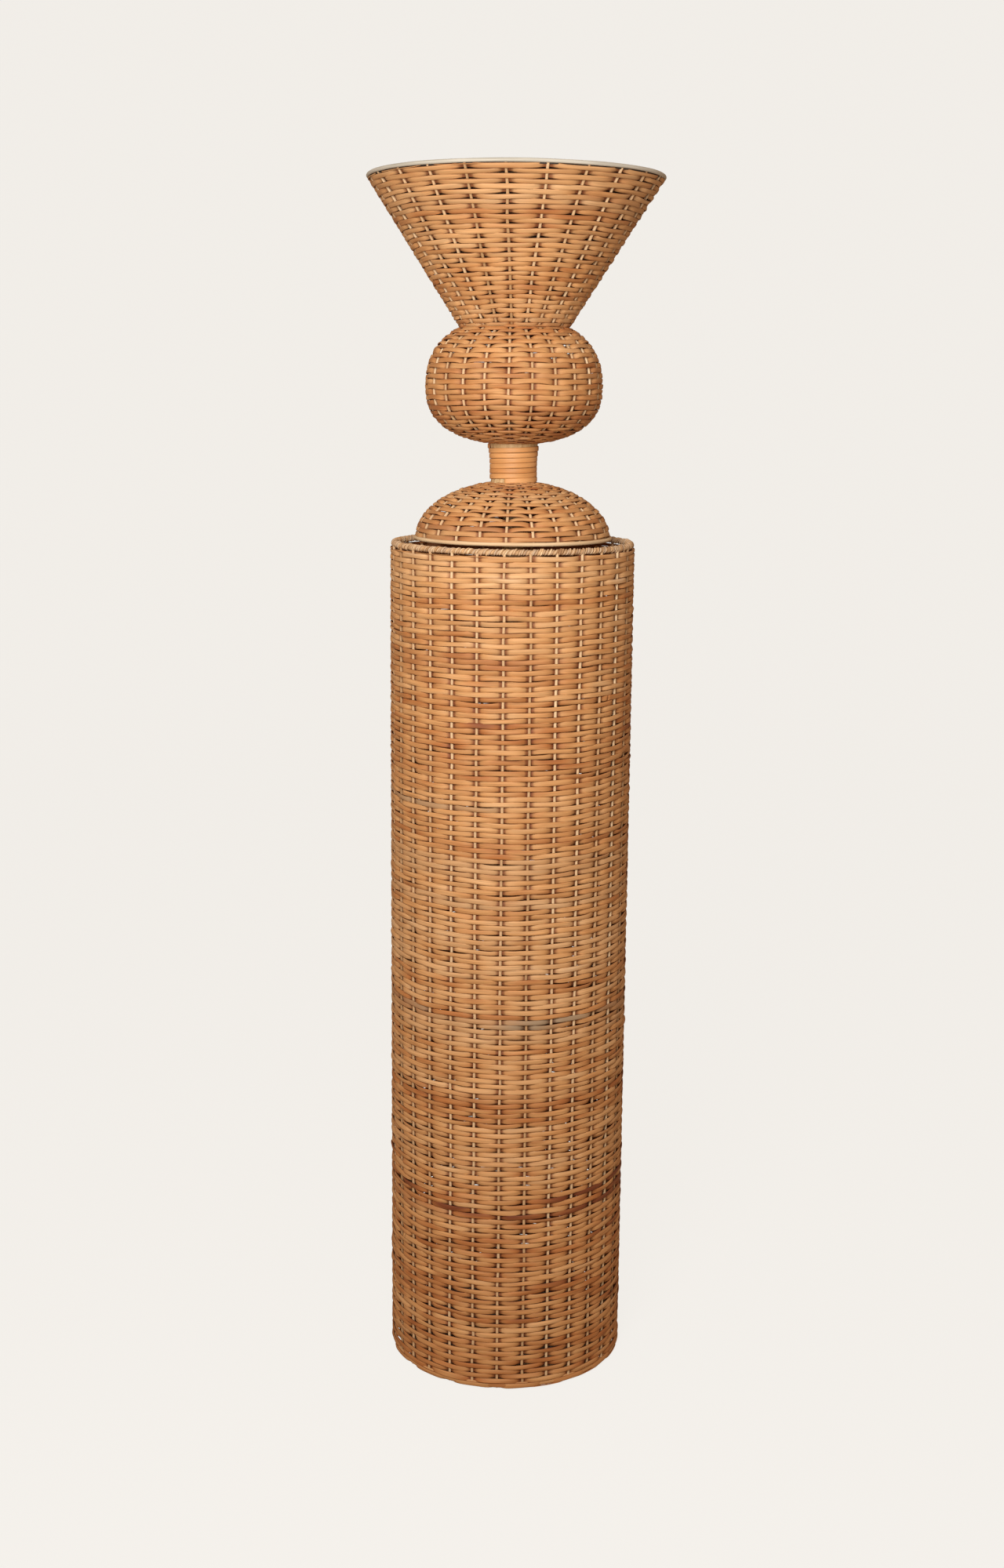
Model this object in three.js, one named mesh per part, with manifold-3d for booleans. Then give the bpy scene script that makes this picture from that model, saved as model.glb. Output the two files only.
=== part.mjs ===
// Free-standing woven rattan torch: a tall basket column with a lift-off torch head.
// The head is a dome, a bound neck, a ball and a flared basket, which holds a fuel canister.
// Millimetres, +Z up, origin on the floor at the centre of the column.
import * as THREE from "three";
import { mergeVertices } from "three/addons/utils/BufferGeometryUtils.js";
import Module from "manifold-3d";

const wasm = await Module();
wasm.setup();

// ---- Driving dimensions ----
const gap = 0.3; // between two pieces that touch
const wall = 7; // thickness of a woven wall, stakes included
const stakeDiameter = 3.8;
const smooth = 36; // facets round a large piece
const coarse = 20; // facets round a small piece

const columnRadius = 155;
const columnHeight = 1106; // floor to the top of the rolled border
const columnStakes = 29;
const weaveFloorGap = 2;
const footRingHeight = 3.5;
const borderWidth = 9.5;
const borderHeight = 9.8;

const boardThickness = 12;
const boardClearance = 0.5; // between a board's edge and the woven wall
const uprightDiameter = 18;
const uprightCount = 4;
const hoopDiameter = 7;
const hoopCount = 4;
const hoopInset = 60; // from the first and the last hoop to the boards
const topBoardDrop = 38; // from the top of the border down to the top board
const glideDiameter = 30;
const glideHeight = 6;
const glideCount = 4;
const ballastRadius = 112;
const ballastThickness = 38;

const poleDiameter = 28;
const poleFit = 0.6; // round the pole where it slides into its socket
const socketDepth = 100;
const socketWall = 22;
const socketFloor = 10;

const domeRadius = 124;
const domeRise = 71.5;
const domeRingDiameter = 5;
const domeBoardThickness = 5;

const neckRadius = 30.2;
const neckTopFlare = 3.5;
const neckFootFlare = 1.6;
const neckHeight = 50.3;
const bindingThickness = 2.2;

const ballRadius = 110;
const ballLower = 70.5; // from the ball's widest circle down to its underside
const ballUpper = 86.4; // and up to where its crown would close
const ballPower = 2.4; // 2 would be an ellipse, more is fuller
const waistRadius = 68.5;

const coneRadius = 184;
const coneHeight = 179;
const rimRingDiameter = 5.2;

const trayPlay = 2.5; // between the canister and the tray's lip
const trayLip = 6;
const sheet = 1.5; // thickness of the sheet-metal pieces
const linerGap = 9; // from the cone's weave in to the liner, measured level

const canisterRadius = 50;
const canisterBody = 76; // height of the canister's straight side
const shoulderRise = 10;
const mouthRadius = 21;
const mouthHeight = 13;
const gasketThickness = 1.5;
const plateThickness = 2;
const collarHeight = 17;
const collarWall = 3;
const collarRibs = 16;
const wickRadius = 5;
const wickTubeWall = 1.4;
const wickTubeAbove = 14;
const wickShows = 6;
const wickTravel = 15;
const snufferWall = 1.4;
const knobRadius = 5;

// ---- Turned, swept and cut solids ----
// A turned piece: its outline is a list of [radius, height] points, closed on itself or on the axis.
function turned(outline, facets = smooth) {
  let doubled = 0;
  outline.forEach(([r, z], i) => {
    const [nextR, nextZ] = outline[(i + 1) % outline.length];
    doubled += r * nextZ - nextR * z;
  });
  const ordered = doubled > 0 ? outline : [...outline].reverse();
  const onAxis = ordered.filter(([r]) => r === 0).length > 0;
  let points = [...ordered];
  if (onAxis) {
    while (!(points[0][0] === 0 && points[points.length - 1][0] === 0)) points.push(points.shift());
  } else {
    points = [...points, points[0]];
  }
  const profile = points.map(([r, z]) => new THREE.Vector2(r, z));
  return new THREE.LatheGeometry(profile, facets).rotateX(Math.PI / 2);
}

const disc = (radius, bottom, top, facets) =>
  turned([[0, bottom], [radius, bottom], [radius, top], [0, top]], facets);

const tube = (inner, outer, bottom, top, facets) =>
  turned([[inner, bottom], [outer, bottom], [outer, top], [inner, top]], facets);

// A hoop of round or oval section.
function hoop(radius, height, width, depth = width, facets = smooth, sides = 6) {
  const outline = [];
  for (let i = 0; i < sides; i += 1) {
    const a = (i / sides) * 2 * Math.PI;
    outline.push([radius + (width / 2) * Math.cos(a), height + (depth / 2) * Math.sin(a)]);
  }
  return turned(outline, facets);
}

function toSolid(geometry) {
  const bare = geometry.index ? geometry.toNonIndexed() : geometry.clone();
  bare.deleteAttribute("normal");
  bare.deleteAttribute("uv");
  const merged = mergeVertices(bare, 1e-4);
  return new wasm.Manifold(new wasm.Mesh({
    numProp: 3,
    vertProperties: merged.attributes.position.array,
    triVerts: new Uint32Array(merged.index.array),
  }));
}

function toGeometry(solid) {
  const { vertProperties, triVerts, numProp } = solid.getMesh();
  const position = new Float32Array((vertProperties.length / numProp) * 3);
  for (let i = 0; i < position.length / 3; i += 1) {
    position.set(vertProperties.subarray(i * numProp, i * numProp + 3), i * 3);
  }
  return new THREE.BufferGeometry()
    .setAttribute("position", new THREE.BufferAttribute(position, 3))
    .setIndex(new THREE.BufferAttribute(new Uint32Array(triVerts), 1));
}

const cut = (geometry, tools) =>
  toGeometry(tools.reduce((left, tool) => left.subtract(toSolid(tool)), toSolid(geometry)));

const joined = (geometries) =>
  toGeometry(geometries.map(toSolid).reduce((whole, piece) => whole.add(piece)));

// A countersunk screw along Z with its flat head at height 0 and its point upwards.
// Grown by a margin on every side it is the hole that the screw sits in.
const screw = { head: 4.5, headRise: 4, shank: 2.2, length: 32 };
const shortScrew = { ...screw, length: 15 };
function screwShape({ head, headRise, shank, length }, grow = 0) {
  const lean = (head - shank) / headRise;
  const side = grow * Math.hypot(1, lean);
  return turned([
    [0, -grow], [head + side + lean * grow, -grow],
    [shank + grow, headRise + (side - grow) / lean],
    [shank + grow, length - 2 * shank], [0, length + 2 * grow],
  ], 10);
}

const ringOf = (count, radius, turn = 0) =>
  Array.from({ length: count }, (_, i) => {
    const a = turn + (i / count) * 2 * Math.PI;
    return [radius * Math.cos(a), radius * Math.sin(a)];
  });

// ---- Outlines of the woven shells ----
const steps = (from, to, count, shape) =>
  Array.from({ length: count + 1 }, (_, i) => shape(from + ((to - from) * i) / count));

// The height over the middle at which a rounded body of a given power has a given radius.
const riseAt = (radius, widest, rise, power) =>
  rise * (1 - (radius / widest) ** power) ** (1 / power);

// A rounded body's outline from one turning angle to another, counted from its widest circle.
const rounded = (widest, rise, power, middle, from, to, count) =>
  steps(from, to, count, (a) => [
    widest * Math.cos(a) ** (2 / power),
    middle + rise * Math.sign(Math.sin(a)) * Math.abs(Math.sin(a)) ** (2 / power),
  ]);

// The turning angle at which a rounded body has a given radius.
const turnAt = (radius, widest, power) => Math.acos((radius / widest) ** (power / 2));

// ---- Levels, from the floor up ----
const weaveFoot = weaveFloorGap + footRingHeight + gap;
const weaveTop = columnHeight - borderHeight - gap;
const innerRadius = columnRadius - wall;
const boardRadius = innerRadius - boardClearance;
const boardBottom = glideHeight + gap;
const boardTop = boardBottom + boardThickness;
const topBoardTop = columnHeight - topBoardDrop;
const topBoardBottom = topBoardTop - boardThickness;
const stakeRing = columnRadius - wall / 2;
const hoopRadius = innerRadius - boardClearance - hoopDiameter / 2;
const uprightRing = hoopRadius - hoopDiameter / 2 - gap - uprightDiameter / 2;

const headBottom = columnHeight + 0.4;
const domeMiddle = headBottom + domeRingDiameter / 2;
const domeWeaveFoot = headBottom + domeBoardThickness + gap;
const neckOpening = neckRadius + neckFootFlare + 2;
const domeCrown = domeMiddle + riseAt(neckOpening, domeRadius, domeRise, 2);
const neckFoot = domeCrown + gap;
const neckTop = neckFoot + neckHeight;
const ballOpening = neckRadius + neckTopFlare + 1;
const ballMiddle = neckTop + gap + riseAt(ballOpening, ballRadius, ballLower, ballPower);
const waist = ballMiddle + riseAt(waistRadius, ballRadius, ballUpper, ballPower);
const coneFoot = waist + gap;
const coneTop = coneFoot + coneHeight;
const slope = (coneRadius - waistRadius) / coneHeight; // widening per millimetre of height
const levelWall = wall * Math.hypot(1, slope); // the cone's wall measured level
const levelSheet = sheet * Math.hypot(1, slope); // and the liner's sheet
const coneAt = (z) => waistRadius + (z - coneFoot) * slope;

// The tray lies where the cone has room for it and the liner.
const trayRadius = canisterRadius + trayPlay + sheet;
const trayRoom = trayRadius + gap + levelSheet + levelWall + linerGap;
const trayBottom = coneFoot + Math.max(10, (trayRoom - waistRadius) / slope);
const trayTop = trayBottom + 2;
const canisterFoot = trayTop + gap;
const shoulder = canisterFoot + canisterBody;
const neckOfCanister = shoulder + shoulderRise;
const mouth = neckOfCanister + mouthHeight;
const gasketFoot = mouth + gap;
const plateBottom = gasketFoot + gasketThickness + gap;
const plateTop = plateBottom + plateThickness;
const wickHole = wickRadius + 0.4;
const wickTube = wickHole + wickTubeWall;
const wickTubeTop = plateTop + wickTubeAbove;
const wickTop = wickTubeTop + wickShows;
const snufferBore = wickTube + 5;
const snufferRadius = snufferBore + snufferWall;
const snufferFoot = plateTop + gap;
const snufferCeiling = wickTop + wickTravel + 3;
const poleBottom = topBoardTop - socketDepth;

// ---- Finishes ----
const finish = (color, roughness, metalness = 0) =>
  new THREE.MeshStandardMaterial({ color, roughness, metalness });
const finishes = {
  weave: finish(0xc98d52, 0.6),
  stake: finish(0xe3cfae, 0.65),
  border: finish(0xb08d66, 0.8),
  binding: finish(0xcf9150, 0.5),
  pole: finish(0xc9a270, 0.55),
  board: finish(0xcdb083, 0.7),
  ballast: finish(0x8d8b86, 0.9),
  rubber: finish(0x2a2827, 0.85),
  steel: finish(0x9a9b9d, 0.4, 1),
  tin: finish(0xb9bbbb, 0.35, 1),
  enamel: finish(0x2b2724, 0.55),
  brass: finish(0xb08d57, 0.35, 1),
  wick: finish(0xe9e4d6, 0.95),
};

const torch = new THREE.Group();
function add(name, geometry, material, [x, y, z] = [0, 0, 0]) {
  const mesh = new THREE.Mesh(geometry, material);
  mesh.name = name;
  mesh.position.set(x, y, z);
  torch.add(mesh);
}

// ---- Column: woven wall, stakes and rolled border ----
function columnWeave() {
  const ring = (path, radius, facets, x = 0, y = 0) => {
    for (let i = 0; i < facets; i += 1) {
      const a = (i / facets) * 2 * Math.PI;
      path[i ? "lineTo" : "moveTo"](x + radius * Math.cos(a), y + radius * Math.sin(a));
    }
    path.closePath();
    return path;
  };
  const facets = 2 * columnStakes;
  const plan = ring(new THREE.Shape(), columnRadius, facets);
  plan.holes.push(ring(new THREE.Path(), innerRadius, facets));
  ringOf(columnStakes, stakeRing).forEach(([x, y]) => {
    plan.holes.push(ring(new THREE.Path(), stakeDiameter / 2 + gap, 6, x, y));
  });
  const body = new THREE.ExtrudeGeometry(plan, { depth: weaveTop - weaveFoot, bevelEnabled: false });
  return body.translate(0, 0, weaveFoot);
}

// The stakes stand in a ring made of their own turned-down feet.
function columnStakeCage() {
  const height = weaveTop - weaveFloorGap - 1;
  const stakes = ringOf(columnStakes, stakeRing).map(([x, y]) =>
    new THREE.CylinderGeometry(stakeDiameter / 2, stakeDiameter / 2, height, 6)
      .rotateX(Math.PI / 2)
      .rotateZ(Math.PI / 2)
      .translate(x, y, weaveFloorGap + 1 + height / 2));
  const foot = hoop(stakeRing, weaveFloorGap + footRingHeight / 2, stakeDiameter + 1, footRingHeight,
    2 * columnStakes);
  return joined([foot, ...stakes]);
}

add("column_weave", columnWeave(), finishes.weave);
add("column_stakes", columnStakeCage(), finishes.stake);
add("column_border",
  hoop(columnRadius - borderWidth / 2 + 1, columnHeight - borderHeight / 2, borderWidth, borderHeight,
    smooth, 8),
  finishes.border);

// ---- Column: the stand inside it ----
const uprights = ringOf(uprightCount, uprightRing);
const glides = ringOf(glideCount, boardRadius - glideDiameter, Math.PI / uprightCount);
const downwards = (geometry) => geometry.rotateX(Math.PI);
const baseScrewHoles = uprights.map(([x, y]) => screwShape(screw, gap).translate(x, y, boardBottom));
const topScrewHoles = uprights.map(([x, y]) =>
  downwards(screwShape(screw, gap)).translate(x, y, topBoardTop));
const glideRecess = 2.5; // from a glide's foot up to its screw's head
const glideScrewHoles = glides.map(([x, y]) =>
  screwShape(shortScrew, gap).translate(x, y, glideRecess));

add("base_board",
  cut(disc(boardRadius, boardBottom, boardTop), [...baseScrewHoles, ...glideScrewHoles]),
  finishes.board);
add("top_board",
  cut(tube(poleDiameter / 2 + poleFit, boardRadius, topBoardBottom, topBoardTop), topScrewHoles),
  finishes.board);

uprights.forEach(([x, y], i) => {
  const post = disc(uprightDiameter / 2, boardTop + gap, topBoardBottom - gap, 14).translate(x, y, 0);
  add(`upright_${i + 1}`, cut(post, [baseScrewHoles[i], topScrewHoles[i]]), finishes.pole);
  add(`base_screw_${i + 1}`, screwShape(screw), finishes.steel, [x, y, boardBottom]);
  add(`top_screw_${i + 1}`, downwards(screwShape(screw)), finishes.steel, [x, y, topBoardTop]);
});

glides.forEach(([x, y], i) => {
  const well = disc(shortScrew.head + 1, -1, glideRecess + gap, 14);
  const foot = cut(disc(glideDiameter / 2, 0, glideHeight, 16),
    [well, screwShape(shortScrew, gap).translate(0, 0, glideRecess)]);
  add(`glide_${i + 1}`, foot, finishes.rubber, [x, y, 0]);
  add(`glide_screw_${i + 1}`, screwShape(shortScrew), finishes.steel, [x, y, glideRecess]);
});

const hoopSpan = topBoardBottom - boardTop - 2 * hoopInset;
for (let i = 0; i < hoopCount; i += 1) {
  const height = boardTop + hoopInset + (hoopSpan * i) / (hoopCount - 1);
  add(`frame_hoop_${i + 1}`, hoop(hoopRadius, height, hoopDiameter, hoopDiameter, 24), finishes.pole);
}

add("ballast_slab",
  disc(Math.min(ballastRadius, uprightRing - uprightDiameter / 2 - 2), boardTop + gap,
    boardTop + gap + ballastThickness, 36),
  finishes.ballast);

const socketBore = poleDiameter / 2 + poleFit;
const socketTop = topBoardBottom - gap;
add("pole_socket",
  turned([
    [0, poleBottom - gap - socketFloor], [socketBore + socketWall, poleBottom - gap - socketFloor],
    [socketBore + socketWall, socketTop], [socketBore, socketTop],
    [socketBore, poleBottom - gap], [0, poleBottom - gap],
  ], coarse),
  finishes.board);

// ---- Torch head: pole, dome and neck ----
const trayScrew = { ...screw, head: 7 };
const trayScrewHole = downwards(screwShape(trayScrew, gap)).translate(0, 0, trayTop);
const poleTop = trayBottom - gap;
add("centre_pole", cut(disc(poleDiameter / 2, poleBottom, poleTop, coarse), [trayScrewHole]), finishes.pole);

const poleHole = poleDiameter / 2 + gap;
add("dome_board",
  tube(poleHole, domeRadius - domeRingDiameter / 2 + 1 - gap - 0.5, headBottom,
    headBottom + domeBoardThickness),
  finishes.board);
add("dome_ring", hoop(domeRadius + 1, domeMiddle, domeRingDiameter), finishes.stake);

function domeWeave() {
  const footTurn = (level, rise) => Math.asin((level - domeMiddle) / rise);
  const inner = domeRadius - wall;
  const innerRise = domeRise - wall;
  const outside = rounded(domeRadius, domeRise, 2, domeMiddle, footTurn(domeWeaveFoot, domeRise),
    turnAt(neckOpening, domeRadius, 2), 7);
  const inside = rounded(inner, innerRise, 2, domeMiddle, footTurn(domeWeaveFoot, innerRise),
    turnAt(neckOpening, inner, 2), 7);
  return turned([...outside, ...inside.reverse()]);
}
add("dome_weave", domeWeave(), finishes.weave);

// The neck's core swells at both ends, and the cane binding follows it.
function neckOutline(shrink) {
  const outline = (t) => {
    const foot = neckFootFlare * Math.max(0, 1 - t / 0.18) ** 2;
    const top = neckTopFlare * Math.max(0, (t - 0.45) / 0.55) ** 2;
    return neckRadius + foot + top - shrink;
  };
  return steps(0, 1, 8, (t) => [outline(t), neckFoot + t * (neckTop - neckFoot)]);
}
const boundCore = neckOutline(bindingThickness + gap);
add("neck_core",
  turned([[poleHole, neckFoot], ...boundCore, [poleHole, neckTop]], coarse),
  finishes.board);
add("neck_binding",
  turned([...neckOutline(0), ...neckOutline(bindingThickness).reverse()], coarse),
  finishes.binding);

// ---- Torch head: ball and cone ----
function ballWeave() {
  const inner = ballRadius - wall;
  const half = (widest, rise, edge, sign) =>
    rounded(widest, rise, ballPower, ballMiddle, 0, sign * turnAt(edge, widest, ballPower), 6);
  const outside = [
    ...half(ballRadius, ballLower, ballOpening, -1).reverse(),
    ...half(ballRadius, ballUpper, waistRadius, 1).slice(1),
  ];
  const inside = [
    ...half(inner, ballLower - wall, ballOpening, -1).reverse(),
    ...half(inner, ballUpper - wall, waistRadius - wall, 1).slice(1),
  ];
  return turned([...outside, ...inside.reverse()]);
}
add("ball_weave", ballWeave(), finishes.weave);
add("ball_hoop", hoop(ballRadius - wall - hoopDiameter / 2 - 1.2, ballMiddle, hoopDiameter),
  finishes.pole);

add("cone_weave",
  turned([
    [waistRadius, coneFoot], [coneRadius, coneTop],
    [coneRadius - levelWall, coneTop], [waistRadius - levelWall, coneFoot],
  ]),
  finishes.weave);

const waistHoopHeight = coneFoot + hoopDiameter / 2 + 1;
add("waist_hoop",
  hoop(coneAt(waistHoopHeight - hoopDiameter / 2) - levelWall - hoopDiameter / 2 - 0.5, waistHoopHeight,
    hoopDiameter, hoopDiameter, 24),
  finishes.pole);
const rimHeight = coneTop + gap + rimRingDiameter / 2;
add("rim_ring", hoop(coneRadius - 0.5, rimHeight, rimRingDiameter, rimRingDiameter, smooth, 8), finishes.stake);

// ---- Torch head: tray and liner ----
add("canister_tray",
  cut(turned([
    [0, trayBottom], [trayRadius, trayBottom], [trayRadius, trayTop + trayLip],
    [trayRadius - sheet, trayTop + trayLip], [trayRadius - sheet, trayTop], [0, trayTop],
  ]), [trayScrewHole]),
  finishes.steel);
add("tray_screw", downwards(screwShape(trayScrew)), finishes.steel, [0, 0, trayTop]);

// A funnel of sheet metal that hangs by its lip on the top edge of the cone's weave.
function linerShape() {
  const inset = levelWall + linerGap;
  const foot = trayBottom;
  const lip = coneTop + gap;
  const lipRadius = coneRadius - rimRingDiameter / 2 - 1;
  const skin = (z) => coneAt(z) - inset;
  return turned([
    [skin(foot), foot], [skin(coneTop), lip], [lipRadius, lip], [lipRadius, lip + sheet],
    [skin(coneTop) - levelSheet, lip + sheet], [skin(foot) - levelSheet, foot],
  ]);
}
add("liner", linerShape(), finishes.enamel);

// ---- Fuel canister, burner and snuffer ----
function canisterShape() {
  const outside = [
    [canisterRadius, canisterFoot], [canisterRadius, shoulder], [mouthRadius, neckOfCanister],
    [mouthRadius, mouth],
  ];
  const inside = [
    [mouthRadius - sheet, mouth], [mouthRadius - sheet, neckOfCanister - sheet],
    [canisterRadius - sheet, shoulder - sheet], [canisterRadius - sheet, canisterFoot + sheet],
  ];
  return turned([[0, canisterFoot], ...outside, ...inside, [0, canisterFoot + sheet]], 36);
}
add("fuel_canister", canisterShape(), finishes.tin);
add("gasket", tube(mouthRadius - 5, mouthRadius, gasketFoot, gasketFoot + gasketThickness, coarse),
  finishes.rubber);

// The burner's plate carries the wick tube.
const plateRadius = mouthRadius;
add("burner_plate",
  turned([
    [wickHole, plateBottom - 12], [wickTube, plateBottom - 12], [wickTube, plateBottom],
    [plateRadius, plateBottom], [plateRadius, plateTop], [wickTube, plateTop],
    [wickTube, wickTubeTop], [wickHole, wickTubeTop],
  ], coarse),
  finishes.brass);

// A ribbed collar that turns to clamp the plate on the canister's mouth.
function collarShape() {
  const bore = mouthRadius + 0.8;
  const outer = bore + collarWall;
  const lid = plateTop + gap;
  const shell = turned([
    [bore, lid - collarHeight], [outer, lid - collarHeight], [outer, lid + sheet],
    [snufferRadius + 1, lid + sheet], [snufferRadius + 1, lid], [bore, lid],
  ], 2 * collarRibs);
  const ribs = ringOf(collarRibs, outer, Math.PI / collarRibs).map(([x, y]) =>
    new THREE.BoxGeometry(1.6, 1.6, collarHeight - 3)
      .rotateZ(Math.atan2(y, x))
      .translate(x, y, lid - collarHeight / 2));
  return joined([shell, ...ribs]);
}
add("burner_collar", collarShape(), finishes.brass);

const wickFoot = canisterFoot + 8;
add("wick", disc(wickRadius, wickFoot, wickTop, 12), finishes.wick);

const snufferRoof = snufferCeiling + snufferWall;
add("snuffer",
  turned([
    [snufferBore, snufferFoot], [snufferRadius, snufferFoot], [snufferRadius, snufferCeiling - 4],
    [snufferRadius - 4, snufferRoof], [0, snufferRoof], [0, snufferCeiling],
    [snufferBore - 4, snufferCeiling], [snufferBore, snufferCeiling - 4],
  ], coarse),
  finishes.tin);
add("snuffer_knob",
  turned([
    [0, snufferRoof + gap], [2, snufferRoof + gap], [2, snufferRoof + gap + 2],
    [knobRadius, snufferRoof + gap + 5], [knobRadius * 0.7, snufferRoof + gap + 8.5],
    [0, snufferRoof + gap + 9.5],
  ], 14),
  finishes.brass);

export default torch;
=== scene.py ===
# A free-standing torch woven from split rattan: column, lift-off head, and the lamp inside its bowl.
# Every strand is real geometry. Lengths are in metres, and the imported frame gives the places.
import bpy
import numpy as np
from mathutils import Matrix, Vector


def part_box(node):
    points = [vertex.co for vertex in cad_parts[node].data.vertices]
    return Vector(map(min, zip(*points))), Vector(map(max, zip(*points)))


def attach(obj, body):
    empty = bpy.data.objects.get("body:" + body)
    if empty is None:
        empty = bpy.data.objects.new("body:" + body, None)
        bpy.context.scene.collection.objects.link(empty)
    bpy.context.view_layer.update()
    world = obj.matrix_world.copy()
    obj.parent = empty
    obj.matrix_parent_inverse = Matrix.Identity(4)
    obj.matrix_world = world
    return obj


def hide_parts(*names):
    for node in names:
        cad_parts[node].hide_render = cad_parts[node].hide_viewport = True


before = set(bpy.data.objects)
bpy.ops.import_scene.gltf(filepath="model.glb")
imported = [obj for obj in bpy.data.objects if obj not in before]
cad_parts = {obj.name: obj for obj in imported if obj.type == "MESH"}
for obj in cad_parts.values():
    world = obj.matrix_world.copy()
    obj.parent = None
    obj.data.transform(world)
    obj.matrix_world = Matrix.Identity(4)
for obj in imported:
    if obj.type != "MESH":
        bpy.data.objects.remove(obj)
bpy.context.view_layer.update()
mm = 0.001
turn = 2 * np.pi
print("frame loaded,", len(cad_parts), "nodes")


def linearColour(hexCode):
    # Each sRGB channel is divided by 12.92 near black and raised to 2.4 above that.
    channels = np.array([int(hexCode[i:i + 2], 16) for i in (1, 3, 5)]) / 255
    bright = ((channels + 0.055) / 1.055) ** 2.4
    return (*np.where(channels <= 0.04045, channels / 12.92, bright), 1.0)


def addNode(tree, kind, settings=None, links=None):
    # Adds one node. Links and values go to its inputs, by name or by number.
    node = tree.nodes.new("ShaderNode" + kind)
    for name, value in (settings or {}).items():
        if name == "stops":  # a ramp's positions and colours
            elements = node.color_ramp.elements
            for position, colour in value[2:]:
                elements.new(position)
            for element, (position, colour) in zip(elements, sorted(value)):
                element.position = position
                element.color = linearColour(colour)
        else:
            setattr(node, name, value)
    for name, value in (links or {}).items():
        socket = node.inputs[name]
        if isinstance(value, bpy.types.NodeSocket):
            tree.links.new(value, socket)
        else:
            socket.default_value = value
    return node


def newMaterial(name, roughness, metallic=0.0):
    # A material with its shader, and constant values on the shader's own sockets.
    material = bpy.data.materials.new(name)
    material.use_nodes = True
    tree = material.node_tree
    shader = tree.nodes["Principled BSDF"]
    shader.inputs["Roughness"].default_value = roughness
    shader.inputs["Metallic"].default_value = metallic
    return material, tree, shader


def joinShader(tree, shader, colour, height, strength, depth, roughness=None):
    # Gives the shader its colour, a bump from the height and, where there is one, its roughness.
    tree.links.new(colour, shader.inputs["Base Color"])
    bump = addNode(tree, "Bump", links={"Height": height, "Strength": strength, "Distance": depth})
    tree.links.new(bump.outputs[0], shader.inputs["Normal"])
    if roughness:
        tree.links.new(roughness, shader.inputs["Roughness"])


blended = {"data_type": "RGBA"}
multiplied = {"data_type": "RGBA", "blend_type": "MULTIPLY"}
fibreFleck = (0.045, 0.0011)  # length and width; real fibres are finer, and these are drawn to show
blotchFleck = (0.11, 0.02)


def fibreNoise(tree, length, width, detail=4.0):
    # Noise drawn out along a strand: length and width are the size of one fleck.
    fibre = addNode(tree, "Attribute", {"attribute_name": "fibre"})
    stretched = addNode(tree, "Mapping", links={"Vector": fibre.outputs["Vector"],
                                                "Scale": (1 / length, 1 / width, 1)})
    return addNode(tree, "TexNoise", links={"Vector": stretched.outputs[0], "Scale": 1.0,
                                            "Detail": detail, "Roughness": 0.6}).outputs["Fac"]


def strandMaterial(name, look):
    # Split or round rattan. Tone picks a colour for each length, fibres streak it, and
    # painted shade darkens the strand towards its edges, where its neighbours would shade it.
    material, tree, shader = newMaterial(name, look["roughness"])
    tone = addNode(tree, "Attribute", {"attribute_name": "tone"}).outputs["Fac"]
    grey = addNode(tree, "Attribute", {"attribute_name": "grey"}).outputs["Fac"]
    crown = addNode(tree, "Attribute", {"attribute_name": "crown"}).outputs["Fac"]
    streaks = fibreNoise(tree, *fibreFleck)
    blotches = fibreNoise(tree, *blotchFleck, detail=2.0)
    swing = addNode(tree, "MapRange", links={"Value": blotches, 1: 0.3, 2: 0.7, 3: -0.16, 4: 0.16})
    shade = addNode(tree, "Math", {"operation": "ADD"}, {0: tone, 1: swing.outputs[0]})
    colour = addNode(tree, "ValToRGB", {"stops": look["colours"]}, {"Fac": shade.outputs[0]}).outputs[0]
    streakTone = addNode(tree, "MapRange", links={"Value": streaks, 1: 0.32, 2: 0.62,
                                                  3: look["streaks"], 4: 1.06})
    streaked = addNode(tree, "Mix", multiplied, {0: 1.0, 6: colour, 7: streakTone.outputs[0]}).outputs[2]
    weathered = addNode(tree, "Mix", blended, {0: grey, 6: streaked,
                                               7: linearColour(look["weathered"])}).outputs[2]
    # Painted shade: by the crown value, the strand's edges and sole are multiplied towards dark brown.
    edge = addNode(tree, "MapRange", {"interpolation_type": "SMOOTHSTEP"},
                   {"Value": crown, 1: -0.1, 2: 0.5, 3: look["edge"], 4: 0.0})
    shaded = addNode(tree, "Mix", multiplied, {0: edge.outputs[0], 6: weathered,
                                               7: linearColour("#94591F")}).outputs[2]
    rough = addNode(tree, "MapRange", links={"Value": streaks, 3: look["roughness"] + 0.12,
                                             4: look["roughness"] - 0.1})
    joinShader(tree, shader, shaded, streaks, 0.5, 0.4 * mm, rough.outputs[0])
    return material


def grainedWood(name, light, dark, grainLength, grainWidth, axis, roughness):
    # Sawn or turned wood: long noise along one axis gives pale and dark grain.
    material, tree, shader = newMaterial(name, roughness)
    place = addNode(tree, "TexCoord").outputs["Object"]
    scale = [1 / grainWidth] * 3
    scale[axis] = 1 / grainLength
    grain = addNode(tree, "Mapping", links={"Vector": place, "Scale": scale})
    noise = addNode(tree, "TexNoise", links={"Vector": grain.outputs[0], "Scale": 1.0, "Detail": 5.0})
    colour = addNode(tree, "ValToRGB", {"stops": [(0.3, dark), (0.68, light)]},
                     {"Fac": noise.outputs["Fac"]})
    joinShader(tree, shader, colour.outputs[0], noise.outputs["Fac"], 0.3, 0.5 * mm)
    return material


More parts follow.
